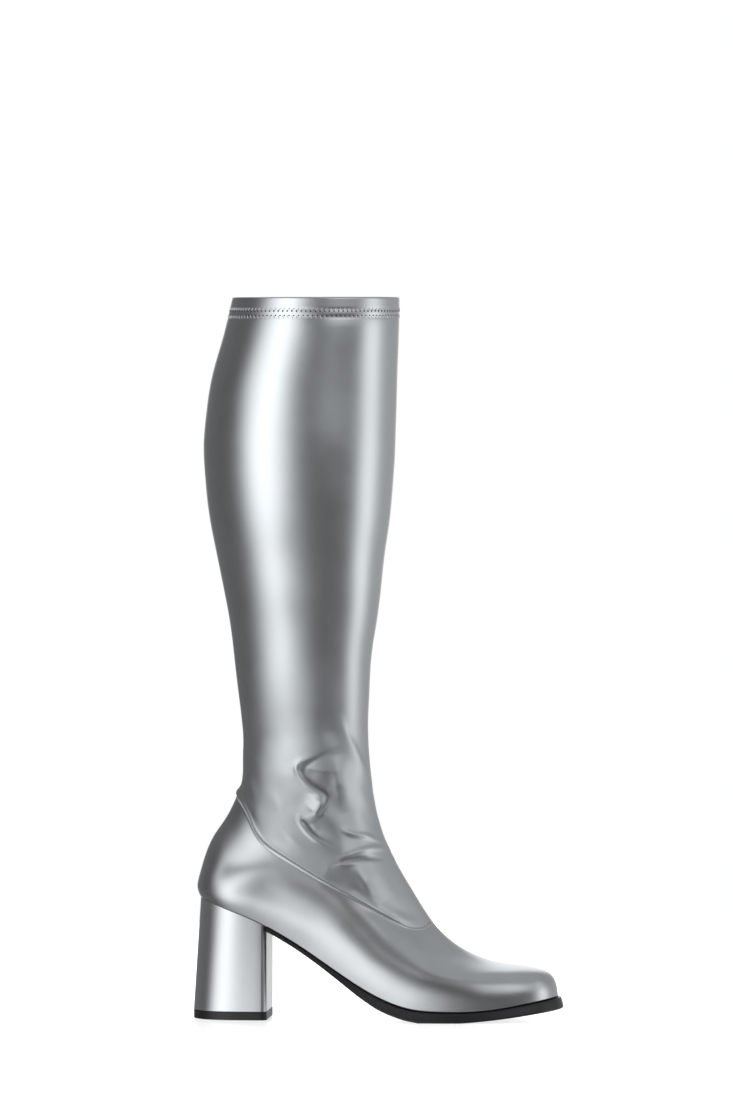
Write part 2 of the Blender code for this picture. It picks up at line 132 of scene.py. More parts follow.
# %% Ribs of the foot, the bend at the instep, the rings of the leg
RIBS = (
    # turn, five steps of (in, up, belly)
    (0, (-0.08, 0.09, 0), (-0.03, 0.21, 0), (0.14, 0.417, 0), (0.39, 0.617, 0), (0.75, 0.81, 0)),
    (52, (-0.02, 0.09, 0.5), (0.00, 0.21, 0.9), (0.15, 0.417, 1.0), (0.4, 0.617, 0.8), (0.74, 0.81, 0.4)),
    (88, (0.05, 0.12, 0.4), (0.16, 0.27, 0.8), (0.4, 0.5, 1.0), (0.61, 0.68, 0.9), (0.82, 0.85, 0.5)),
    (124, (0.03, 0.13, 0.5), (0.12, 0.28, 0.9), (0.38, 0.5, 1.2), (0.62, 0.69, 1.0), (0.83, 0.86, 0.5)),
    (162, (0.015, 0.17, 0.2), (0.09, 0.34, 0.3), (0.36, 0.45, 0.3), (0.6, 0.55, 0.2), (0.83, 0.74, 0.1)),
    (180, (0.018, 0.17, 0), (0.085, 0.325, 0), (0.37, 0.43, 0), (0.6, 0.515, 0), (0.835, 0.725, 0)),
)
BENDS = (
    # front up, front in, back up, back in, oval
    (0.112, 0.218, 0.092, 0.5, 0.12),
    (0.285, 0.521, 0.241, 0.84, 0.35),
    (0.495, 0.797, 0.453, 0.97, 0.62),
    (0.734, 0.939, 0.7, 1.00, 0.85),
    (1.000, 1.000, 1.000, 1.00, 1.00),
)
LEG_RINGS = (
    # height, girth, front line: 0 at the ankle, 1 at the calf, 2 at the collar
    (0.129, 0.076, 0.034), (0.253, 0.169, 0.109), (0.377, 0.312, 0.293), (0.502, 0.49, 0.477),
    (0.626, 0.655, 0.62), (0.751, 0.838, 0.805), (0.876, 0.945, 0.92), (1.000, 1.000, 1.000),
    (1.163, 1.05, 1.18), (1.408, 1.21, 1.4), (1.571, 1.41, 1.6), (1.735, 1.65, 1.85),
    (1.897, 1.86, 2.03), (2.000, 2.000, 2.000),
)
ARCH_LINE = ((0.00, 0.00), (0.22, 0.00), (0.36, 0.10), (0.48, 0.35), (0.60, 0.78), (0.74, 1.18), (1.00, 1.18))
print("rings of the leg:", len(LEG_RINGS))

# %% [markdown]
# ## One smooth curve for everything
# Leather pulled over a last has no corners, so every table is read through a natural cubic spline, whose
# bend changes without a jump. Blender's own curves could be lofted instead, but a silver surface shows
# each tiny jump in curvature as a kink in its reflections, and the spline has none.

# %% Smooth curves
def smooth(keys, values, at):
    """Read the natural cubic curve through values at keys, at each place in `at`."""
    keys, at = np.asarray(keys, float), np.asarray(at, float)
    values = np.asarray(values, float).reshape(len(keys), -1)
    step = np.diff(keys)
    slope = np.diff(values, axis=0) / step[:, None]
    system, pull = np.eye(len(keys)), np.zeros_like(values)
    for i in range(1, len(keys) - 1):
        system[i, i - 1:i + 2] = (step[i - 1], 2 * (step[i - 1] + step[i]), step[i])
        pull[i] = 6 * (slope[i] - slope[i - 1])
    bend = np.linalg.solve(system, pull)
    span = np.clip(np.searchsorted(keys, at, side="right") - 1, 0, len(keys) - 2)
    width = step[span][:, None]
    before = (at - keys[span])[:, None] / width
    after = 1 - before
    sag = (after ** 3 - after) * bend[span] + (before ** 3 - before) * bend[span + 1]
    return after * values[span] + before * values[span + 1] + sag * width ** 2 / 6


def smooth_round(turns, values, at):
    """The same curve, closed on itself after a full turn."""
    turns = np.asarray(turns, float)
    values = np.asarray(values, float).reshape(len(turns), -1)
    return smooth(np.concatenate((turns - 360, turns, turns + 360)), np.concatenate((values,) * 3), at)


TURNS = np.concatenate((STATIONS[0], 360 - STATIONS[0][-2:0:-1]))


def both_sides(outer, inner):
    return np.concatenate((outer, inner[-2:0:-1]))

# %% [markdown]
# ## From tables to the rings of the last
# Level by level the boot is a set of closed rings: the feather edge where upper meets sole, five rings up
# the foot, the slanting seam, five rings that turn level round the instep, and the rings of the leg.
# Lofting through rings is how a last maker works with templates, so it is used here too.

# %% Feather edge and seam as rings
FEATHER_TIP = LENGTH - SOLE_PROUD - SOLE_FLARE - SOLE_TOE_PROUD
_, along, outer, inner, heel_lift, toe_lift, seam_along, seam_up, seam_half = STATIONS
feather_x = SEAT_BACK_X + (FEATHER_TIP - SEAT_BACK_X) * along
feather_z = SOLE_EDGE + (HEEL_HEIGHT - SOLE_EDGE) * heel_lift + TOE_SPRING * toe_lift
FEATHER = np.stack((
    both_sides(feather_x, feather_x),
    both_sides(-BALL_WIDTH / 2 * outer, BALL_WIDTH / 2 * inner),
    both_sides(feather_z, feather_z),
), axis=1)
seam_x = SEAM_BACK[0] + (SEAM_FRONT[0] - SEAM_BACK[0]) * seam_along
seam_z = SEAM_FRONT[1] + (SEAM_BACK[1] - SEAM_FRONT[1]) * seam_up
seam_y = SEAM_WIDTH / 2 * seam_half
SEAM = np.stack((both_sides(seam_x, seam_x), both_sides(-seam_y, seam_y), both_sides(seam_z, seam_z)), axis=1)


def outward(loop, turns):
    """Level unit directions out of a closed loop."""
    ahead, behind = smooth_round(TURNS, loop, turns + 0.5), smooth_round(TURNS, loop, turns - 0.5)
    run = (ahead - behind)[:, :2]
    run /= np.linalg.norm(run, axis=1)[:, None]
    return np.stack((run[:, 1], -run[:, 0], np.zeros(len(turns))), axis=1)


print("feather edge", len(FEATHER), "points, tip at", round(1000 * FEATHER_TIP, 1), "mm")

# %% Rings of the foot, the bend and the leg
def oval(back_x, front_x, height, half_width, egg):
    turns = np.radians(TURNS)
    x = (back_x + front_x) / 2 - (front_x - back_x) / 2 * np.cos(turns)
    y = -half_width * np.sin(turns) * (1 + egg * np.cos(turns))
    return np.stack((x, y, np.full(len(turns), height)), axis=1)


def foot_rings():
    rib_turns = [row[0] for row in RIBS]
    mirrored = rib_turns + [360 - turn for turn in rib_turns[-2:0:-1]]
    rings = [FEATHER]
    for step in range(1, len(RIBS[0])):
        shares = [row[step] for row in RIBS]
        inward, up, belly = smooth_round(mirrored, shares + shares[-2:0:-1], TURNS).T
        ring = FEATHER + (SEAM - FEATHER) * np.stack((inward, inward, up), axis=1)
        rings.append(ring + outward(FEATHER, TURNS) * (belly * SWELL)[:, None])
    return rings


def bend_rings():
    share_x = (SEAM[:, 0] - SEAM_BACK[0]) / (SEAM_FRONT[0] - SEAM_BACK[0])
    share_z = (SEAM[:, 2] - SEAM_BACK[1]) / (SEAM_FRONT[1] - SEAM_BACK[1])
    level = (1 - np.cos(np.radians(TURNS))) / 2
    ankle_y = oval(0, 1, 0, ANKLE["width"] / 2, ANKLE["egg"])[:, 1]
    rings = []
    for front_up, front_in, back_up, back_in, round_share in BENDS:
        back_x = SEAM_BACK[0] + (ANKLE["front"] - ANKLE["depth"] - SEAM_BACK[0]) * back_in
        back_z = SEAM_BACK[1] + (ANKLE["height"] - SEAM_BACK[1]) * back_up
        front_x = SEAM_FRONT[0] + (ANKLE["front"] - SEAM_FRONT[0]) * front_in
        front_z = SEAM_FRONT[1] + (ANKLE["height"] - SEAM_FRONT[1]) * front_up
        x = back_x + (front_x - back_x) * (share_x + (level - share_x) * round_share)
        z = back_z + (front_z - back_z) * (share_z + (level - share_z) * round_share)
        rings.append(np.stack((x, SEAM[:, 1] + (ankle_y - SEAM[:, 1]) * round_share, z), axis=1))
    return rings


def leg_rings():
    rings = []
    for height, girth, front in LEG_RINGS:
        def size(key, place):
            return np.interp(place, (0, 1, 2), (ANKLE[key], CALF[key], COLLAR[key]))
        front_x = size("front", front)
        rings.append(oval(front_x - size("depth", girth), front_x, size("height", height),
                          size("width", girth) / 2, size("egg", girth)))
    return rings

# %% The surface of the last
FOOT_RINGS = foot_rings()
RINGS = np.array(FOOT_RINGS + [SEAM] + bend_rings() + leg_rings())
gaps = np.linalg.norm(np.diff(RINGS, axis=0), axis=2).mean(axis=1)
LEVELS = np.concatenate(((0.0,), np.cumsum(gaps)))
LEVELS -= LEVELS[len(FOOT_RINGS)]


def last_surface(levels, turns):
    """Points of the last in rows and columns. Level 0 is the seam, above it is the shaft."""
    around = np.array([smooth_round(TURNS, ring, turns) for ring in RINGS])
    return smooth(LEVELS, around.reshape(len(LEVELS), -1), levels).reshape(len(levels), len(turns), 3)


def column_turns(count):
    """Turns spaced evenly along the mean of feather edge and ankle."""
    fine = np.linspace(0, 180, 600)
    length = np.zeros(len(fine))
    for loop in (FEATHER, RINGS[len(FOOT_RINGS) + len(BENDS)]):
        length[1:] += np.cumsum(np.linalg.norm(np.diff(smooth_round(TURNS, loop, fine), axis=0), axis=1))
    half = np.interp(np.linspace(0, length[-1], count // 2 + 1), length, fine)
    return np.concatenate((half, 360 - half[-2:0:-1]))


print("levels run from", round(1000 * LEVELS[0], 1), "to", round(1000 * LEVELS[-1], 1), "mm")

# %% [markdown]
# ## Folds that wearing and stretching leave
# Coated stretch cloth buckles where the ankle bends: a thin ridge, a narrow crease beside it, and a hollow,
# steep next to the crease and gentle on its far side. They could come out of a cloth simulation, but then
# they would fall where the solver likes. The real boot's main folds have known places, so each is laid as
# a line on the surface, in millimetres from the heel's foot. Narrow creases are remembered, because
# painted shade darkens the film in them.

# %% Table of folds on the outer side
OUTER, INNER = -1, 1
FOLDS = {OUTER: (
    # half width before and behind the line, points of (x, height, how far the fold stands out), in mm
    # the upper fold: ridge, narrow crease beside it darkened with painted shade, hollow, and the bulge under
    # its knee
    (1.6, 1.5, ((84, 170, 0), (74, 167.3, 0.15), (69.5, 164.5, 0.35), (68.6, 162, 0.65),
        (71.2, 156.2, 0.75), (75, 151.7, 0.7), (79.5, 147.9, 0.5), (86, 144, 0))),
    (1.7, 1.7, ((92, 173, 0), (86, 170.5, -0.15), (79, 166.5, -0.25), (73, 161.5, -0.2),
        (73, 158.2, -0.6), (77.4, 153.2, -0.9), (83.3, 148.9, -1.0), (88.6, 144.6, -1.1),
        (87.4, 139, -0.9), (82.4, 131.5, -0.4), (79, 128, 0))),
    (2.4, 7.0, ((92, 172, 0), (82, 166, -0.3), (75, 161, -0.7), (77.6, 156, -1.1), (84.4, 150.2, -1.3),
        (90, 145.5, -1.2), (90, 139, -0.7), (86, 132, 0))),
    (8.0, 1.8, ((89.5, 148, 0), (88, 144, 1.4), (86, 138.5, 3.2), (82, 132.5, 2.8), (78, 129, 1.0),
        (75, 126, 0))),
    # the lower fold
    (1.5, 1.4, ((69.5, 133, 0), (71, 128.5, 0.55), (74.8, 121.9, 0.7), (80.5, 116.7, 0.5), (89, 113, 0))),
    (1.6, 1.6, ((73, 130, 0), (74.4, 126.8, -0.7), (77.6, 123, -0.9), (81.4, 119.7, -0.8),
        (89.7, 114, -0.3), (94, 112, 0))),
    (2.4, 7.0, ((76, 131, 0), (77, 126.5, -0.8), (82, 122.5, -1.1), (89, 118.5, -0.7), (97, 115, 0))),
    # the front of the ankle, from top to bottom
    (6.0, 6.0, ((85, 203, 0), (88, 193, -0.4), (91, 185, -0.5), (94, 176, 0))),
    (6.0, 3.0, ((96, 197, 0), (98, 187, 0.5), (103.5, 175, 0.8), (110.5, 162, 0.6), (115, 152, 0))),
    (4.0, 7.0, ((93, 170, 0), (94.5, 161, 0.9), (95.5, 152, 1.4), (97, 144, 1.1), (100, 133, 0))),
    (1.7, 1.7, ((97, 122.7, 0), (103.2, 120.3, 0.8), (112, 117.5, 1.0), (120, 114.8, 0.4), (124, 113, 0))),
    (1.7, 1.7, ((95, 103, 0), (102, 106.5, 0.7), (112, 109.2, 1.0), (121, 109.3, 0.7), (127, 108, 0))),
    (1.4, 1.4, ((97, 100, 0), (103, 103.4, -0.6), (113, 104.2, -0.8), (124, 103, 0))),
    (1.4, 1.4, ((91, 97.5, 0), (98, 99.7, 0.5), (106, 101.2, 0.4), (114, 101, 0))),
    (4.5, 9.0, ((105, 102, 0), (109, 96, 0.9), (112.5, 89, 1.3), (117, 82, 0.9), (122, 75, 0))),
    (3.5, 4.0, ((114, 80, 0), (124, 71.5, 1.0), (134, 66, 1.0), (146, 61, 0.2))),
    (6.5, 6.5, ((88, 95, 0), (99, 89, -1.0), (109, 84, -0.9), (116, 79, 0))),
    # the back of the ankle
    (3.0, 4.0, ((35, 162, 0), (38, 150, 0.8), (42, 140, 0))),
    (3.0, 3.0, ((52, 146, 0), (58, 136, 0.3), (66, 127, 0))),
    (2.5, 2.5, ((57, 127, 0), (64, 119, 0.3), (74, 111, 0))),
)}

# %% Table of folds on the inner side, softer, as the inner ankle bends less
FOLDS[INNER] = (
    (2.2, 2.2, ((94, 172, 0), (84, 167, 0.3), (75, 161, 0.6), (74, 156, 0.6), (79, 149, 0.5),
        (86, 143, 0))),
    (3.2, 8.0, ((96, 168, 0), (87, 163, -0.9), (80, 158, -1.2), (84, 151, -1.1), (89, 145, -0.6),
        (90, 138, 0))),
    (2.0, 2.0, ((68, 134, 0), (71, 128, 0.4), (77, 122, 0.5), (86, 117, 0))),
    (3.4, 3.0, ((98, 188, 0), (103, 178, 0.9), (109, 165, 0.9), (114, 154, 0))),
    (2.4, 2.4, ((97, 116, 0), (106, 114, 0.6), (116, 112, 0.7), (126, 108, 0.2))),
    (2.6, 2.6, ((93, 100, 0), (104, 103, 0.7), (118, 104, 0.8), (129, 102, 0.3))),
    (5.0, 5.0, ((106, 92, 0), (118, 87, 1.0), (130, 79, 0))),
)
print("folds:", {side: len(rows) for side, rows in FOLDS.items()})

# %% Laying the folds on the last
NARROW = 1.75
LAST_POINTS = last_surface(np.linspace(LEVELS[0], 0.2, 300), column_turns(240)).reshape(-1, 3)


def fold_line(side, points):
    """Lay a fold's side-view points on the last, as a curved line in space with its depths."""
    rows = LAST_POINTS[LAST_POINTS[:, 1] * side > 0]
    line = []
    for x, height, depth in points:
        near = np.argmin(np.hypot(rows[:, 0] - x / 1000, rows[:, 2] - height / 1000))
        line.append((*rows[near], depth))
    line = np.array(line)
    along = np.concatenate(((0.0,), np.cumsum(np.linalg.norm(np.diff(line[:, :3], axis=0), axis=1))))
    steps = np.linspace(0, along[-1], int(along[-1] / 0.0012) + 2)
    curved = smooth(along, line, steps)
    curved[:, 3] = np.interp(steps, along, line[:, 3])
    return curved


def fold_depth(points):
    """How far all the folds push each point out, in mm, and how deep it lies in a narrow crease, the mask for
    the painted shade there.
    """
    push, crease = np.zeros(len(points)), np.zeros(len(points))
    rows = [(side, *row) for side, table in FOLDS.items() for row in table]
    for side, before, behind, places in rows:
        line = fold_line(side, places)
        nearest, depth, across = np.full(len(points), 9.0), np.zeros(len(points)), np.zeros(len(points))
        for start, end in zip(line[:-1], line[1:]):
            run = end[:3] - start[:3]
            away = points - start[:3]
            share = np.clip(away @ run / (run @ run), 0, 1)
            distance = np.linalg.norm(away - share[:, None] * run, axis=1)
            hand = np.where(run[0] * away[:, 2] > run[2] * away[:, 0], 1, -1)
            closer = distance < nearest
            nearest[closer] = distance[closer]
            across[closer] = (distance * hand)[closer] * 1000
            depth[closer] = (start[3] + (end[3] - start[3]) * share)[closer]
        out = depth * np.exp(-(across / np.where(across < 0, before, behind)) ** 2)
        push += out
        # narrow hollows give the mask for the painted shade in the creases
        if before < NARROW:
            crease = np.maximum(crease, -out)
    return push, crease


def unevenness(points, size, height):
    """A soft random unevenness of the cloth, the same at every run."""
    return np.array([height * noise.noise(Vector(point) / size) for point in points])


print("places on the last that folds can take:", len(LAST_POINTS))

# %% [markdown]
# ## Building a wall
# The upper is a sheet with a real thickness. Blender's Solidify would do, but here the rim should roll
# over and the hem should be thicker, so each ring is named by its level and its depth under the surface.
# The list runs up outside, over the rim and down inside, and closes on itself: one closed body.

# %% Helpers for meshes
def centred(points):
    """From the heel's foot at x = 0 to the frame's own origin."""
    return np.asarray(points, float) - (LENGTH / 2, 0, 0)


def add_piece(name, points, faces, finishes, node=None, smooth_shading=True):
    mesh = bpy.data.meshes.new(name)
    mesh.from_pydata(centred(points).tolist(), [], faces)
    for finish in finishes:
        mesh.materials.append(finish)
    if smooth_shading:
        mesh.shade_smooth()
    piece = bpy.data.objects.new(name, mesh)
    bpy.context.scene.collection.objects.link(piece)
    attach(piece, "root")
    if node:
        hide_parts(node)
    return piece


def ring_faces(rows, columns, closed):
    """Quads between rows of a tube, and back from the last row to the first where it is closed."""
    faces = []
    for row in range(rows if closed else rows - 1):
        low, high = row * columns, (row + 1) % rows * columns
        for column in range(columns):
            after = (column + 1) % columns
            faces.append((low + column, low + after, high + after, high + column))
    return faces

# %% Walls from levels and depths
def wall_points(profile, turns, shape):
    """Points for a profile of (level, depth) rows. shape(base, lengths, turns) says how far
    the surface stands out at each point."""
    levels, depths = np.array(profile).T
    unique, where = np.unique(levels, return_inverse=True)
    base = last_surface(unique, turns)
    nudge = 0.0002
    above, below = last_surface(unique + nudge, turns), last_surface(unique - nudge, turns)
    around = np.roll(base, -1, axis=1) - np.roll(base, 1, axis=1)
    normal = np.cross(around, above - below)
    normal /= np.linalg.norm(normal, axis=2)[:, :, None]
    fine = np.linspace(min(0, unique[0]), max(0, unique[-1]), 400)
    column = last_surface(fine, turns)
    steps = np.linalg.norm(np.diff(column, axis=0), axis=2)
    lengths = np.concatenate((np.zeros((1, len(turns))), np.cumsum(steps, axis=0)))
    at_seam = np.array([np.interp(0.0, fine, length) for length in lengths.T])
    from_seam = np.stack([np.interp(unique, fine, length) for length in lengths.T], axis=1) - at_seam
    out = shape(base, from_seam, np.broadcast_to(turns, from_seam.shape))
    skin = base + normal * out[:, :, None]
    return skin[where] - normal[where] * depths[:, None, None]

# %% [markdown]
# ## Silver coated cloth
# The real skin is a knitted cloth with a metallic film: a mirror with a very fine grain that blurs it.
# Metallic 1 gives the mirror. The grain could be modelled, but at a tenth of a millimetre a bump node
# does the same, and slow noise in the roughness gives the cloudy look that coated cloth has. Towards the
# ankle the cloth is less stretched, so the film gets duller there, and its colour is made a little darker
# towards the ankle. Painted shade darkens the film in the narrow creases.

# %% Helpers for materials
def wire(tree, source, target):
    tree.links.new(source, target)


def node(tree, kind, **settings):
    made = tree.nodes.new(kind)
    for key, value in settings.items():
        if key in made.inputs:
            made.inputs[key].default_value = value
        else:
            setattr(made, key, value)
    return made


def fresh_material(name):
    finish = bpy.data.materials.new(name)
    finish.use_nodes = True
    return finish, finish.node_tree, finish.node_tree.nodes["Principled BSDF"]


def clouds_on(tree, place, scale, detail, roughness=0.5):
    clouds = node(tree, "ShaderNodeTexNoise", Scale=scale, Detail=detail, Roughness=roughness)
    wire(tree, place.outputs["Object"], clouds.inputs["Vector"])
    return clouds.outputs["Fac"]


def two_tone(tree, share, dark, light):
    tint = node(tree, "ShaderNodeMix", data_type="RGBA")
    tint.inputs[6].default_value = (*dark, 1)
    tint.inputs[7].default_value = (*light, 1)
    wire(tree, share, tint.inputs["Factor"])
    return tint.outputs[2]


def darkened(tree, colour, share, shade):
    tint = node(tree, "ShaderNodeMix", data_type="RGBA", blend_type="MULTIPLY")
    tint.inputs[7].default_value = (*shade, 1)
    wire(tree, share, tint.inputs["Factor"])
    wire(tree, colour, tint.inputs[6])
    return tint.outputs[2]


def between(tree, share, low, high):
    span = node(tree, "ShaderNodeMapRange", **{"To Min": low, "To Max": high})
    wire(tree, share, span.inputs["Value"])
    return span.outputs["Result"]


def eased(tree, value, start, end):
    """0 at start, 1 at end, with a soft shoulder at both."""
    limits = {"From Min": start, "From Max": end}
    climb = node(tree, "ShaderNodeMapRange", interpolation_type="SMOOTHSTEP", **limits)
    wire(tree, value, climb.inputs["Value"])
    return climb.outputs["Result"]


def grained(tree, shader, height, strength, distance):
    bump = node(tree, "ShaderNodeBump", Strength=strength, Distance=distance)
    wire(tree, height, bump.inputs["Height"])
    wire(tree, bump.outputs["Normal"], shader.inputs["Normal"])

# %% Silver
CLOUDINESS = 0.03
# painted shade: the colour that the film is darkened towards in the narrow creases
PAINTED_CREASE_SHADE = (0.30, 0.30, 0.31)


def silver_film(name, dark, light, roughness, grain, relaxed=None):
    """relaxed: the heights where the cloth is slack and where it is taut, the roughness that
    it gains there and the share of its colour that it keeps towards the ankle. With relaxed, painted
    shade from the crease attribute also darkens the film in each narrow crease."""
    finish, tree, shader = fresh_material(name)
    shader.inputs["Metallic"].default_value = 1.0
    place = node(tree, "ShaderNodeTexCoord")
    clouds = clouds_on(tree, place, 55.0, 6.0, 0.62)
    colour = two_tone(tree, clouds, dark, light)
    haze = between(tree, clouds, roughness - CLOUDINESS, roughness + CLOUDINESS)
    if relaxed:
        ankle, calf, gained, kept = relaxed
        axes = node(tree, "ShaderNodeSeparateXYZ")
        wire(tree, place.outputs["Object"], axes.inputs[0])
        slack = eased(tree, axes.outputs["Z"], calf, ankle)
        duller = node(tree, "ShaderNodeMath", operation="MULTIPLY_ADD")
        duller.inputs[1].default_value = gained
        wire(tree, slack, duller.inputs[0])
        wire(tree, haze, duller.inputs[2])
        haze = duller.outputs[0]
        crease_shade_mask = node(tree, "ShaderNodeAttribute", attribute_name="crease")
        # the colour is made a little darker towards the ankle, by the same height ramp as the roughness
        colour = darkened(tree, colour, slack, (kept,) * 3)
        # painted shade: the film is darkened in the narrow creases, where shade would fall
        colour = darkened(tree, colour, crease_shade_mask.outputs["Fac"], PAINTED_CREASE_SHADE)
    wire(tree, colour, shader.inputs["Base Color"])
    wire(tree, haze, shader.inputs["Roughness"])
    grained(tree, shader, clouds_on(tree, place, 900.0, 2.0), grain, 0.0002)
    return finish


foot_silver = silver_film("foot_silver", (0.49, 0.515, 0.53), (0.61, 0.635, 0.65), 0.31, 0.04)
shaft_silver = silver_film("shaft_silver", (0.555, 0.585, 0.605), (0.635, 0.665, 0.685), 0.30, 0.04,
                           relaxed=(0.16, 0.31, 0.11, 0.97))
heel_silver = silver_film("heel_silver", (0.61, 0.635, 0.655), (0.69, 0.715, 0.735), 0.34, 0.03)
print("silver finishes:", foot_silver.name, shaft_silver.name, heel_silver.name)

# %% [markdown]
# ## Lining, thread and rubber
# Inside, the boot is lined with a grey woven cloth, and thread holds hem and seam. A picture of cloth
# would be quicker, but two crossed wave textures make a weave that never runs out at a border.

# %% Lining, thread
def woven(name, dark, light, pitch, roughness):
    finish, tree, shader = fresh_material(name)
    shader.inputs["Roughness"].default_value = roughness
    place = node(tree, "ShaderNodeTexCoord")
    cross = node(tree, "ShaderNodeMath", operation="MAXIMUM")
    for number, direction in enumerate("XZ"):
        yarn = node(tree, "ShaderNodeTexWave", bands_direction=direction, Scale=0.314 / pitch, Distortion=0.6)
        wire(tree, place.outputs["Object"], yarn.inputs["Vector"])
        wire(tree, yarn.outputs["Fac"], cross.inputs[number])
    wire(tree, two_tone(tree, cross.outputs[0], dark, light), shader.inputs["Base Color"])
    grained(tree, shader, cross.outputs[0], 0.4, 0.0001)
    return finish


lining_cloth = woven("lining_cloth", (0.30, 0.30, 0.31), (0.46, 0.46, 0.47), 0.0009, 0.85)
insole_cloth = woven("insole_cloth", (0.34, 0.34, 0.35), (0.48, 0.48, 0.49), 0.0012, 0.80)
# painted shade: the near black of the needle holes stands in for the shade inside them
painted_hole_shade = woven("painted_hole_shade", (0.03, 0.03, 0.035), (0.07, 0.07, 0.075), 0.0004, 0.85)
silver_thread = woven("silver_thread", (0.40, 0.41, 0.42), (0.72, 0.73, 0.75), 0.0002, 0.40)
print("woven finishes:", lining_cloth.name, insole_cloth.name, painted_hole_shade.name, silver_thread.name)

# %% Rubber of sole and top piece
def rubber(name, colour, roughness, grain):
    finish, tree, shader = fresh_material(name)
    specks = clouds_on(tree, node(tree, "ShaderNodeTexCoord"), 420.0, 5.0, 0.65)
    shades = [[share * c for c in colour] for share in (0.7, 1.4)]
    wire(tree, two_tone(tree, specks, *shades), shader.inputs["Base Color"])
    wire(tree, between(tree, specks, roughness - 0.08, roughness + 0.08), shader.inputs["Roughness"])
    grained(tree, shader, specks, grain, 0.0002)
    return finish


sole_black = rubber("sole_black", (0.007, 0.007, 0.009), 0.36, 0.20)
top_piece_black = rubber("top_piece_black", (0.008, 0.008, 0.010), 0.45, 0.25)
print("rubber finishes:", sole_black.name, top_piece_black.name)

# %% [markdown]
# ## The foot upper
# On the real boot this is one piece of coated cloth pulled over the last and turned under at the feather
# edge. Its top edge is folded in where the shaft is sewn on, which leaves a small bead along the seam.
# The bead could be a separate cord, but it is the same cloth, so it is a step in the wall itself.

# %% Foot upper
# seam: depth or height and half width, in mm
SEAM_GROOVE, GROOVE_HALF = 0.38, 0.45
SEAM_BEAD, BEAD_HALF = 0.26, 0.6
STITCH_LINE = -1.15


def bump_at(length, centre, half_width, height):
    return height * np.exp(-((length - centre) / half_width) ** 2)


def seam_fade(turns):
    """The seam is pressed flat where it crosses the instep."""
    front = np.clip((np.minimum(turns, 360 - turns) - 125) / 35, 0, 1)
    return 1 - 0.8 * front * front * (3 - 2 * front)


def foot_shape(base, lengths, turns):
    below = lengths * 1000
    out = bump_at(below, 0.0, GROOVE_HALF, -SEAM_GROOVE) + bump_at(below, STITCH_LINE, BEAD_HALF, SEAM_BEAD)
    out *= seam_fade(turns)
    flat = base.reshape(-1, 3)
    out += fold_depth(flat)[0].reshape(below.shape)
    out += unevenness(flat, 0.018, 0.16).reshape(below.shape) * np.clip(-below / 6, 0, 1)
    return out / 1000


foot_levels = np.linspace(LEVELS[0], -0.0045, 64)
foot_edge = (-0.0041, -0.0036, -0.0031, -0.0027, *np.arange(-0.0024, -0.0001, 0.00018), -0.0001, -0.00003)
foot_profile = [(level, 0.0) for level in (*foot_levels, *foot_edge)]
foot_profile += [(level, FOOT_WALL) for level in (*foot_edge[::-5], *foot_levels[::-2])]
foot_turns = column_turns(288)
foot_points = wall_points(foot_profile, foot_turns, foot_shape)
foot_upper = add_piece("foot_upper_skin", foot_points.reshape(-1, 3),
                       ring_faces(len(foot_profile), len(foot_turns), True),
                       (foot_silver,), "foot_upper")
print("foot upper:", len(foot_upper.data.polygons), "faces")

# %% [markdown]
# ## The shaft
# A tube of stretch cloth, sewn to the foot along a slanting seam, and folded in at the collar. The rows
# of the mesh lie under a millimetre apart round the ankle, where the folds are, and wider up the calf, where
# nothing happens. A subdivision modifier would put the same number everywhere.

# %% Shaft
# places, half widths and heights in mm: grooves under the collar, roll above the seam, bulge behind the ankle
HEM_GROOVES = ((7.9, 1.0, -0.12), (13.0, 1.3, -0.24))
SEAM_ROLL = (1.1, 0.9, 0.08)
BACK_BULGE, BULGE_DEGREES = (2.8, 3.4, 1.5), 10.0


def shaft_shape(base, lengths, turns):
    up = lengths * 1000
    from_collar = (HEIGHT - base[:, :, 2]) * 1000
    back = np.minimum(turns, 360 - turns)
    out = (bump_at(up, 0.0, GROOVE_HALF, -SEAM_GROOVE) + bump_at(up, *SEAM_ROLL)) * seam_fade(turns)
    for groove in HEM_GROOVES:
        out += bump_at(from_collar, *groove)
    out += bump_at(back, 0.0, BULGE_DEGREES, 1.0) * bump_at(up, *BACK_BULGE)
    flat = base.reshape(-1, 3)
    out += fold_depth(flat)[0].reshape(up.shape)
    slack = np.clip((0.21 - base[:, :, 2]) / 0.06, 0, 1) * np.clip(up / 6, 0, 1)
    out += unevenness(flat, 0.011, 0.22).reshape(up.shape) * slack
    out += unevenness(flat, 0.030, 0.18).reshape(up.shape) * np.clip(from_collar / 30, 0, 1)
    return out / 1000


rim = HEM_WALL / 2
top = LEVELS[-1]
seam_rows = (0.00003, 0.0001, *np.arange(0.00028, 0.0020, 0.00018), 0.0023, 0.0027, 0.0033, 0.0039, 0.0045)
ankle_rows = np.arange(0.0052, 0.118, 0.00078)
calf_rows = np.linspace(0.120, top - HEM_DEPTH - 0.002, 52)
hem_rows = np.linspace(top - HEM_DEPTH - 0.0012, top - rim, 30)
shaft_profile = [(level, 0.0) for level in (*seam_rows, *ankle_rows, *calf_rows, *hem_rows)]
for step in range(1, 8):
    angle = math.pi * step / 8
    shaft_profile.append((top - rim + rim * math.sin(angle), rim - rim * math.cos(angle)))
shaft_profile += [(level, HEM_WALL) for level in hem_rows[:1:-4]]
inner_rows = (*calf_rows[:-1:3][::-1], *ankle_rows[::-4], *seam_rows[::-6])
shaft_profile += [(level, SHAFT_WALL) for level in inner_rows]
shaft_turns = column_turns(288)
shaft_points = wall_points(shaft_profile, shaft_turns, shaft_shape)
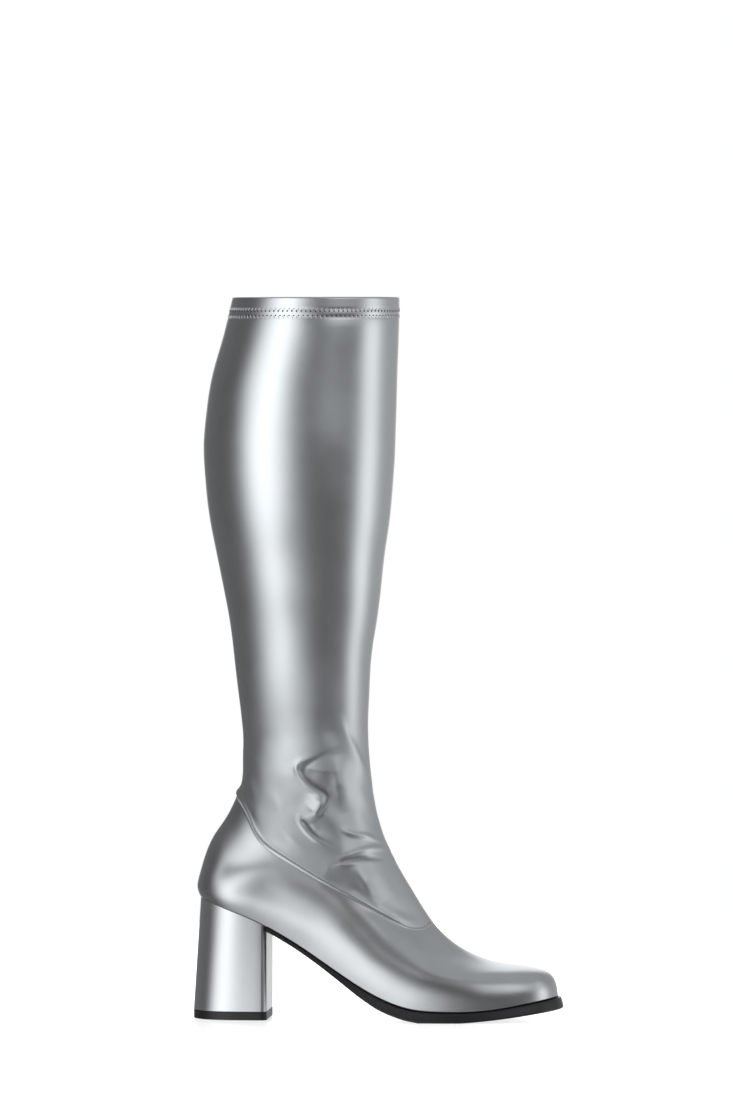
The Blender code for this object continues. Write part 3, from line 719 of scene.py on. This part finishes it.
shaft = add_piece("shaft_skin", shaft_points.reshape(-1, 3),
                  ring_faces(len(shaft_profile), len(shaft_turns), True),
                  (shaft_silver, lining_cloth), "shaft")
# painted shade: the depth in the narrow creases is kept on the shaft as the mask that darkens its film
_, crease_shade_mask = fold_depth(last_surface([level for level, _ in shaft_profile], shaft_turns).reshape(-1, 3))
shaft.data.attributes.new("crease", "FLOAT", "POINT").data.foreach_set("value", crease_shade_mask.astype(np.float32))
outside_rows = len(seam_rows) + len(ankle_rows) + len(calf_rows) + len(hem_rows) + 7
for face in shaft.data.polygons:
    if outside_rows + 4 <= face.index // len(shaft_turns) < len(shaft_profile) - 1:
        face.material_index = 1
print("shaft:", len(shaft.data.polygons), "faces")

# %% [markdown]
# ## Stitches
# The hem is held by a zigzag, which lets the collar stretch, and the seam by a straight row. Each stitch
# is a short length of thread that dips into the cloth at both ends. A line drawn in the material would be
# lighter, but thread catches the light on its own round back, so it is modelled. A needle hole is only seen
# as a dark dot, the shade inside the hole, so it is a small disc of painted shade on the cloth.

# %% Stitches as lengths of thread
def threads(name, ends, outs, radius, lift, finish):
    """One tapered length of thread between each pair of ends. outs are the surface's directions."""
    points, faces = [], []
    sides, rows = 6, 5
    for (start, end), out in zip(ends, outs):
        run = end - start
        run_unit = run / np.linalg.norm(run)
        side = np.cross(out, run_unit)
        for row in range(rows):
            share = row / (rows - 1)
            arch = math.sin(math.pi * share)
            centre = start + run * share + out * (lift * arch - radius * 0.6)
            size = radius * (0.45 + 0.55 * arch)
            for corner in range(sides):
                angle = 2 * math.pi * corner / sides
                points.append(centre + size * (math.cos(angle) * side + math.sin(angle) * out))
        first = len(points) - sides * rows
        tips = [range(sides - 1, -1, -1), range(sides * (rows - 1), sides * rows)]
        faces += [tuple(first + corner for corner in face) for face in ring_faces(rows, sides, False) + tips]
    add_piece(name, points, faces, (finish,))
    print(name, len(ends), "stitches")


def even_turns(level, pitch):
    """Turns spaced by an even pitch round the boot at one level."""
    fine = np.linspace(0, 360, 2000)
    points = last_surface([level], fine)[0]
    length = np.concatenate(((0,), np.cumsum(np.linalg.norm(np.diff(points, axis=0), axis=1))))
    count = int(length[-1] / pitch)
    return np.interp(np.arange(count) * length[-1] / count, length, fine)


def skin_at(level, turns, shape):
    """Points of the finished skin and its outward directions at one level."""
    near = wall_points([(level - 0.0004, 0.0), (level, 0.0), (level + 0.0004, 0.0)], turns, shape)
    around = np.gradient(near[1], axis=0)
    out = np.cross(around, near[2] - near[0])
    return near[1], out / np.linalg.norm(out, axis=1)[:, None]

# %% Zigzag at the hem
ZIGZAG_PITCH, ZIGZAG_HALF, ZIGZAG_SLANT = 0.0030, 0.0012, 0.0008
ends, outs, holes = [], [], []
for (from_collar, _, _), slant in zip(HEM_GROOVES, (ZIGZAG_SLANT, -ZIGZAG_SLANT)):
    level = top - from_collar / 1000
    turns = even_turns(level, ZIGZAG_PITCH)
    low, out = skin_at(level - ZIGZAG_HALF, turns, shaft_shape)
    high, _ = skin_at(level + ZIGZAG_HALF, turns, shaft_shape)
    around = np.roll(low, -1, axis=0) - low
    around /= np.linalg.norm(around, axis=1)[:, None]
    for i in range(len(turns)):
        shift = around[i] * slant
        ends.append((low[i] - shift, high[i] + shift))
        outs.append(out[i])
        holes.append((low[i] if slant > 0 else high[i]) - shift)
threads("hem_zigzag", ends, outs, 0.00026, 0.00022, silver_thread)

# %% Needle holes at the hem
HOLE_HALF_WIDTH, HOLE_HALF_HEIGHT = 0.00052, 0.00072
points, faces = [], []
for hole, out in zip(holes, outs):
    side = np.cross(out, (0, 0, 1))
    side /= np.linalg.norm(side)
    rise = np.cross(side, out)
    first = len(points)
    points.append(hole + out * 0.00012)
    for corner in range(8):
        angle = 2 * math.pi * corner / 8
        spoke = HOLE_HALF_WIDTH * math.cos(angle) * side + HOLE_HALF_HEIGHT * math.sin(angle) * rise
        points.append(hole + out * 0.00004 + spoke)
    faces += [(first, first + 1 + corner, first + 1 + (corner + 1) % 8) for corner in range(8)]
# the holes are discs of painted shade
add_piece("needle_holes", points, faces, (painted_hole_shade,))
print("needle holes:", len(holes))

# %% Straight stitches along the foot's seam
STITCH_PITCH = 0.0021
line, outs = skin_at(STITCH_LINE / 1000, even_turns(STITCH_LINE / 1000, STITCH_PITCH), foot_shape)
runs = np.roll(line, -1, axis=0) - line
ends = list(zip(line + runs * 0.12, line + runs * 0.82))
threads("seam_stitches", ends, outs, 0.00020, 0.00014, silver_thread)

# %% [markdown]
# ## The heel
# A block of plastic wrapped in the same silver film, D shaped from above, with a flat front that makers
# call the breast. A cube with bevels comes close, but the plan is the seat of the boot itself, so the
# block is lofted from the feather edge down to its foot.

# %% Outlines of heel and sole
def feather_at(turns):
    return smooth_round(TURNS, FEATHER, turns)


def offset_feather(turns, distance):
    return feather_at(turns) + outward(FEATHER, turns) * np.reshape(distance, (-1, 1))


def turn_at(x, low, high):
    turns = np.linspace(low, high, 600)
    reach = feather_at(turns)[:, 0]
    order = np.argsort(reach)
    return float(np.interp(x, reach[order], turns[order]))


def rungs(count):
    """Faces across a closed loop, from its outer side to its inner side."""
    return [tuple(dict.fromkeys((i, i + 1, count - 2 - i, count - 1 - i))) for i in range((count - 1) // 2)]


def stacked(name, loops, finish, node):
    count = len(loops[0])
    faces = ring_faces(len(loops), count, False)
    topmost = (len(loops) - 1) * count
    for rung in rungs(count):
        faces.append(tuple(reversed(rung)))
        faces.append(tuple(topmost + corner for corner in rung))
    return add_piece(name, np.concatenate(loops), faces, (finish,), node, smooth_shading=False)


def ease_edges(piece, width, segments):
    bevel = piece.modifiers.new("eased edges", "BEVEL")
    bevel.width, bevel.segments = width, segments
    bevel.limit_method, bevel.angle_limit = "ANGLE", math.radians(50)
    bevel.harden_normals = True
    piece.data.shade_smooth()
    sharp = piece.modifiers.new("smooth by angle", "WEIGHTED_NORMAL")
    sharp.keep_sharp = True


print("the sole meets the heel at", round(turn_at(BREAST_X, 0.0, 180.0)), "degrees on the outer side")

# %% Heel and top piece
CORNER = 0.0042
corner_steps = np.sin(np.radians(np.arange(90, 0, -11.25)))
outer_side = np.array([turn_at(BREAST_X - CORNER + CORNER * step, 0.0, 180.0) for step in corner_steps])
inner_side = np.array([turn_at(BREAST_X - CORNER + CORNER * step, 360.0, 180.0) for step in corner_steps])
to_back = np.linspace(1, 0, 30)[1:]
outer_side = np.concatenate((outer_side, outer_side[-1] * to_back))
inner_side = np.concatenate((inner_side, 360 - (360 - inner_side[-1]) * to_back))
seat_turns = np.concatenate((outer_side, inner_side[-2::-1]))


def heel_outline(down, height):
    """The heel's outline between its seat, down 0, and its foot, down 1, at one height."""
    seat = offset_feather(seat_turns, -HEEL_TUCK)
    seat[[0, -1], 0] = BREAST_X
    into = np.clip((seat[:, 0] - (BREAST_X - CORNER)) / CORNER, 0, 1)
    seat[:, 1] -= np.sign(seat[:, 1]) * CORNER * (1 - np.sqrt(1 - into ** 2))
    share = (seat[:, 0] - seat[:, 0].min()) / (BREAST_X - seat[:, 0].min())
    foot = seat.copy()
    foot[:, 0] = BREAST_X * share
    foot[:, 1] *= HEEL_FOOT_WIDTH / np.ptp(seat[:, 1])
    loop = seat + (foot - seat) * down
    loop[:, 2] = height
    return loop


HEEL_ROUND, TOP_PIECE_ROUND = 0.0011, 0.0006
seat_height = feather_at(seat_turns)[:, 2] - GAP
heel_foot = TOP_PIECE_HEIGHT + GAP
heel_rows = np.linspace(1, 0, 19)
heel_loops = [heel_outline(down, seat_height + (heel_foot - seat_height) * down) for down in heel_rows]
heel = stacked("heel_block", heel_loops, heel_silver, "heel")
ease_edges(heel, HEEL_ROUND, 4)
top_loops = [heel_outline(1.0, height) for height in (0.0, 0.0016, 0.0036, TOP_PIECE_HEIGHT)]
top_piece = stacked("heel_walking_piece", top_loops, top_piece_black, "heel_top_piece")
ease_edges(top_piece, TOP_PIECE_ROUND, 3)
print("heel:", len(heel.data.polygons), "faces before its edges are eased")

# %% [markdown]
# ## The outsole
# Black moulded rubber from the heel's breast to the toe. It is thin under the arch and thicker under the
# ball, its edge is eased top and bottom, and it flares a little at its foot. Its outline could be drawn
# by hand, but it follows the upper, so it is read from the same feather edge, pushed out.

# %% Outsole
def underside(x, feather_height):
    along, edge = np.array(ARCH_LINE).T
    place = (x - BREAST_X) / (TREAD_BACK_X - BREAST_X)
    thick = ARCH_EDGE + (SOLE_EDGE - ARCH_EDGE) * np.interp(place, along, edge)
    spring = np.clip((x - TREAD_FRONT_X) / (LENGTH - TREAD_FRONT_X), 0, 1) ** SPRING_CURVE
    return np.where(place < 1, np.maximum(feather_height - thick, 0), TOE_SPRING * spring)


outer_start = turn_at(BREAST_X + GAP, 0.0, 180.0)
inner_start = 360 - turn_at(BREAST_X + GAP, 360.0, 180.0)
outer_turns = np.linspace(outer_start, 180, 121)
inner_turns = 360 - np.linspace(180, inner_start, 121)[1:]
sole_turns = np.concatenate((outer_turns, inner_turns))
edge = feather_at(sole_turns)
tipward = np.clip((edge[:, 0] - TREAD_FRONT_X) / (FEATHER_TIP - TREAD_FRONT_X), 0, 1) ** 2
proud = SOLE_PROUD + SOLE_TOE_PROUD * tipward
low = underside(edge[:, 0], edge[:, 2])
high = edge[:, 2] - GAP
SOLE_PROFILE = (
    # share of the height, share of the flare, extra in millimetres
    (0.00, 1.0, -0.7), (0.05, 1.0, -0.25), (0.13, 1.0, 0.00), (0.3, 0.8, 0.00), (0.5, 0.55, 0.0),
    (0.7, 0.3, 0.00), (0.86, 0.1, -0.05), (0.95, 0.02, -0.25), (1.00, 0.0, -0.6),
)
sole_loops = []
for up, flare, extra in SOLE_PROFILE:
    loop = offset_feather(sole_turns, proud + SOLE_FLARE * flare + extra / 1000)
    loop[:, 2] = low + (high - low) * up
    loop[[0, -1], 0] = BREAST_X + GAP
    sole_loops.append(loop)
outsole = stacked("outsole_rubber", sole_loops, sole_black, "outsole")
ease_edges(outsole, 0.0002, 1)
print("outsole:", len(outsole.data.polygons), "faces")

# %% [markdown]
# ## The insole
# A plain sheet covered with cloth lies inside the foot. Its CAD shape is right as it is, so the node
# stays and only gets its finish. Modelling it again would add nothing that can be seen.

# %% Insole finish
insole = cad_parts["insole"]
for place in insole.material_slots:
    place.material = insole_cloth
print("insole finish:", insole.material_slots[0].material.name)

# %% [markdown]
# ## The studio
# A silver boot is a picture of the room round it. The light comes from a ring of soft panels: a broad
# bright one at the front left, a narrow one at the right, dark cloth between them, pale wall behind.
# Low dark cards before the boot draw the dark band along the foot and calm the ankle, as is done with metal.
# Area lamps could stand for the panels, but a ring with a colour ramp lets each edge fade as cloth does.

# %% Panels of light
CAMERA_TURN = 4.4
PANELS = (
    # degrees from the camera's side, brightness far below the boot, below it, level, above it, high above
    (-180, 1.5, 1.6, 1.6, 1.5, 0.8), (-171, 1.5, 1.6, 1.6, 1.5, 0.8), (-160, 0.2, 0.2, 0.2, 0.2, 0.2),
    (-110, 0.16, 0.15, 0.14, 0.14, 0.15), (-88, 0.14, 0.13, 0.11, 0.11, 0.2),
    (-76, 0.2, 0.2, 0.16, 0.2, 0.3), (-65, 0.32, 0.5, 0.45, 0.7, 0.6), (-56, 0.42, 1.05, 1.1, 1.3, 1.1),
    (-46, 0.5, 1.55, 1.75, 1.6, 1.2), (-36, 0.55, 1.85, 1.95, 2.0, 1.2), (-24, 0.5, 1.6, 1.9, 1.9, 0.8),
    (-12, 0.35, 0.9, 1.5, 0.9, 0.3), (-2, 0.25, 0.42, 0.7, 0.15, 0.12), (8, 0.18, 0.24, 0.18, 0.15, 0.12),
    (19, 0.18, 0.17, 0.08, 0.32, 0.2), (29, 0.18, 0.16, 0.06, 1.25, 0.3), (42, 0.18, 0.16, 0.06, 1.15, 0.35),
    (52, 0.18, 0.17, 0.08, 0.8, 0.35), (60, 0.2, 0.2, 0.15, 0.6, 0.4), (66, 0.28, 0.45, 0.45, 0.5, 0.4),
    (76, 0.5, 1.25, 1.55, 0.9, 0.4), (88, 0.5, 1.3, 1.6, 0.85, 0.4), (98, 0.4, 0.75, 0.8, 0.45, 0.4),
    (110, 0.32, 0.45, 0.5, 0.42, 0.4), (158, 0.32, 0.45, 0.48, 0.45, 0.4), (171, 1.5, 1.6, 1.6, 1.5, 0.8),
    (180, 1.5, 1.6, 1.6, 1.5, 0.8),
)
PANEL_BENDS = ((-1.9, -1.1), (-0.7, -0.1), (0.32, 0.7), (1.8, 2.5))


def glowing(name, *colour):
    finish = bpy.data.materials.new(name)
    finish.use_nodes = True
    tree = finish.node_tree
    tree.nodes.remove(tree.nodes["Principled BSDF"])
    glow = node(tree, "ShaderNodeEmission", Strength=1.0, Color=(*colour, 1) if colour else (1, 1, 1, 1))
    wire(tree, glow.outputs[0], tree.nodes["Material Output"].inputs["Surface"])
    return finish, tree, glow


def stage_sheet(name, points, faces, finish, unseen_by):
    """A sheet of the studio. unseen_by names the kinds of ray that pass through it."""
    mesh = bpy.data.meshes.new(name)
    mesh.from_pydata(points, [], faces)
    mesh.materials.append(finish)
    sheet = bpy.data.objects.new(name, mesh)
    bpy.context.scene.collection.objects.link(sheet)
    for ray in unseen_by:
        setattr(sheet, "visible_" + ray, False)
    return sheet


def stage_strip(name, radius, degrees, low, high, finish, unseen_by):
    """An upright strip round the boot. Degrees count from the camera's side, to the right."""
    turns = np.radians(degrees)
    ring = np.stack((radius * np.sin(turns), -radius * np.cos(turns)), axis=1)
    points = [(*place, height) for height in (low, high) for place in ring]
    faces = [(i, i + 1, len(ring) + i + 1, len(ring) + i) for i in range(len(ring) - 1)]
    return stage_sheet(name, points, faces, finish, unseen_by)


def ramp_of_brightness(tree, share, column):
    """A ramp round the ring from one column of the panels' brightness."""
    ramp = node(tree, "ShaderNodeValToRGB")
    wire(tree, share, ramp.inputs["Fac"])
    elements = ramp.color_ramp.elements
    while len(elements) > 1:
        elements.remove(elements[-1])
    for number, row in enumerate(PANELS):
        position = (row[0] + 180) / 360
        stop = elements[0] if number == 0 else elements.new(position)
        stop.position = position
        stop.color = (row[column], row[column], row[column], 1)
    return ramp.outputs["Color"]


print("panels:", len(PANELS), "stops of brightness")

# %% Ring of panels
PANEL_RADIUS = PANEL_REACH = 3.0
panel_light, tree, glow = glowing("panel_light")
axes = node(tree, "ShaderNodeSeparateXYZ")
wire(tree, node(tree, "ShaderNodeTexCoord").outputs["Object"], axes.inputs[0])
away = node(tree, "ShaderNodeMath", operation="MULTIPLY")
away.inputs[1].default_value = -1.0
wire(tree, axes.outputs["Y"], away.inputs[0])
angle = node(tree, "ShaderNodeMath", operation="ARCTAN2")
wire(tree, axes.outputs["X"], angle.inputs[0])
wire(tree, away.outputs[0], angle.inputs[1])
round_ring = node(tree, "ShaderNodeMapRange", **{"From Min": -math.pi, "From Max": math.pi})
wire(tree, angle.outputs[0], round_ring.inputs["Value"])
share = round_ring.outputs["Result"]
light = ramp_of_brightness(tree, share, 1)
for column, (from_height, to_height) in enumerate(PANEL_BENDS, start=2):
    turn_over = node(tree, "ShaderNodeMix", data_type="RGBA")
    wire(tree, eased(tree, axes.outputs["Z"], from_height, to_height), turn_over.inputs["Factor"])
    wire(tree, light, turn_over.inputs[6])
    wire(tree, ramp_of_brightness(tree, share, column), turn_over.inputs[7])
    light = turn_over.outputs[2]
wire(tree, light, glow.inputs["Color"])
all_round = np.linspace(-180, 180, 97)
rings = [stage_strip("light_panels", PANEL_RADIUS, all_round, -PANEL_REACH, PANEL_REACH, panel_light,
                     ("camera",))]
print("ring of panels:", PANEL_RADIUS, "m from the boot")

# %% Dark cards
CARDS = (
    # radius, from and to in degrees, low and high edge, brightness
    (0.37, -27, 20, 0.006, 0.135, 0.05),
    (0.38, -33, -27, 0.006, 0.12, 0.4),
    (0.21, -66, -27, 0.121, 0.153, 0.06),
)
for number, (radius, start, end, low, high, light) in enumerate(CARDS):
    card_dark, _, _ = glowing(f"card_dark_{number}", light, light, light)
    rings.append(stage_strip(f"dark_card_{number}", radius, np.linspace(start, end, 24), low, high, card_dark,
                             ("camera", "diffuse", "transmission", "shadow")))
for ring in rings:
    ring.rotation_euler.z = math.radians(CAMERA_TURN)
print("cards:", len(CARDS))

# %% Floor, backdrop and ceiling
backdrop_white, _, _ = glowing("backdrop_white", 1, 1, 1)
stage_strip("backdrop", 12.0, all_round, -30.0, 30.0, backdrop_white,
            ("diffuse", "glossy", "transmission", "shadow"))

floor_white, tree, shader = fresh_material("floor_white")
shader.inputs["Base Color"].default_value = (0.92, 0.92, 0.92, 1)
shader.inputs["Emission Color"].default_value = (1, 1, 1, 1)
shader.inputs["Emission Strength"].default_value = 0.60
tint = node(tree, "ShaderNodeTexNoise", Scale=3.0)
wire(tree, between(tree, tint.outputs["Fac"], 0.20, 0.25), shader.inputs["Roughness"])
FLOOR_RADIUS, FLOOR_SIDES = 0.9, 96
turns = np.arange(FLOOR_SIDES) * 2 * math.pi / FLOOR_SIDES
points = [(r * math.cos(turn), r * math.sin(turn), 0) for r in (FLOOR_RADIUS, 0.0001) for turn in turns]
floor = stage_sheet("floor", points, ring_faces(2, FLOOR_SIDES, False), floor_white, ("glossy",))
floor.location.z = -0.0002
print("floor radius:", FLOOR_RADIUS, "m")

sky = bpy.data.worlds.new("soft_ceiling")
bpy.context.scene.world = sky
sky.use_nodes = True
sky.node_tree.nodes["Background"].inputs["Color"].default_value = (0.48, 0.485, 0.49, 1)
sky.node_tree.nodes["Background"].inputs["Strength"].default_value = 1.0

lamp = bpy.data.objects.new("overhead", bpy.data.lights.new("overhead", "AREA"))
lamp.data.shape, lamp.data.size = "DISK", 1.2
lamp.data.energy = 14.0
lamp.location = (0.1, 0.3, 2.2)
lamp.rotation_euler = (math.radians(8), 0, 0)
lamp.visible_glossy = False
bpy.context.scene.collection.objects.link(lamp)

# %% [markdown]
# ## The camera
# The photograph was taken from far away with a long lens, a little above the toe's height, so that the
# boot shows almost its true side. A short lens close by would swell the heel and shrink the collar.

# %% Camera
FRAME_HEIGHT_PX = 1100
METRES_PER_PX = 0.00064
DISTANCE = 5.8
EYE_HEIGHT = 0.462
AIM = np.array((-0.00775, 0.0, 0.300))
turn = math.radians(CAMERA_TURN)
eye = np.array((AIM[0] + DISTANCE * math.sin(turn), -DISTANCE * math.cos(turn), EYE_HEIGHT))
camera = bpy.data.objects.new("camera", bpy.data.cameras.new("camera"))
bpy.context.scene.collection.objects.link(camera)
camera.location = eye
camera.rotation_euler = Vector(AIM - eye).to_track_quat("-Z", "Y").to_euler()
camera.data.sensor_width = 36.0
camera.data.lens = 36.0 * np.linalg.norm(AIM - eye) / (METRES_PER_PX * FRAME_HEIGHT_PX)
camera.data.clip_end = 100.0
bpy.context.scene.camera = camera
bpy.context.scene.view_settings.view_transform = "Standard"
print("lens", round(camera.data.lens, 1), "mm")
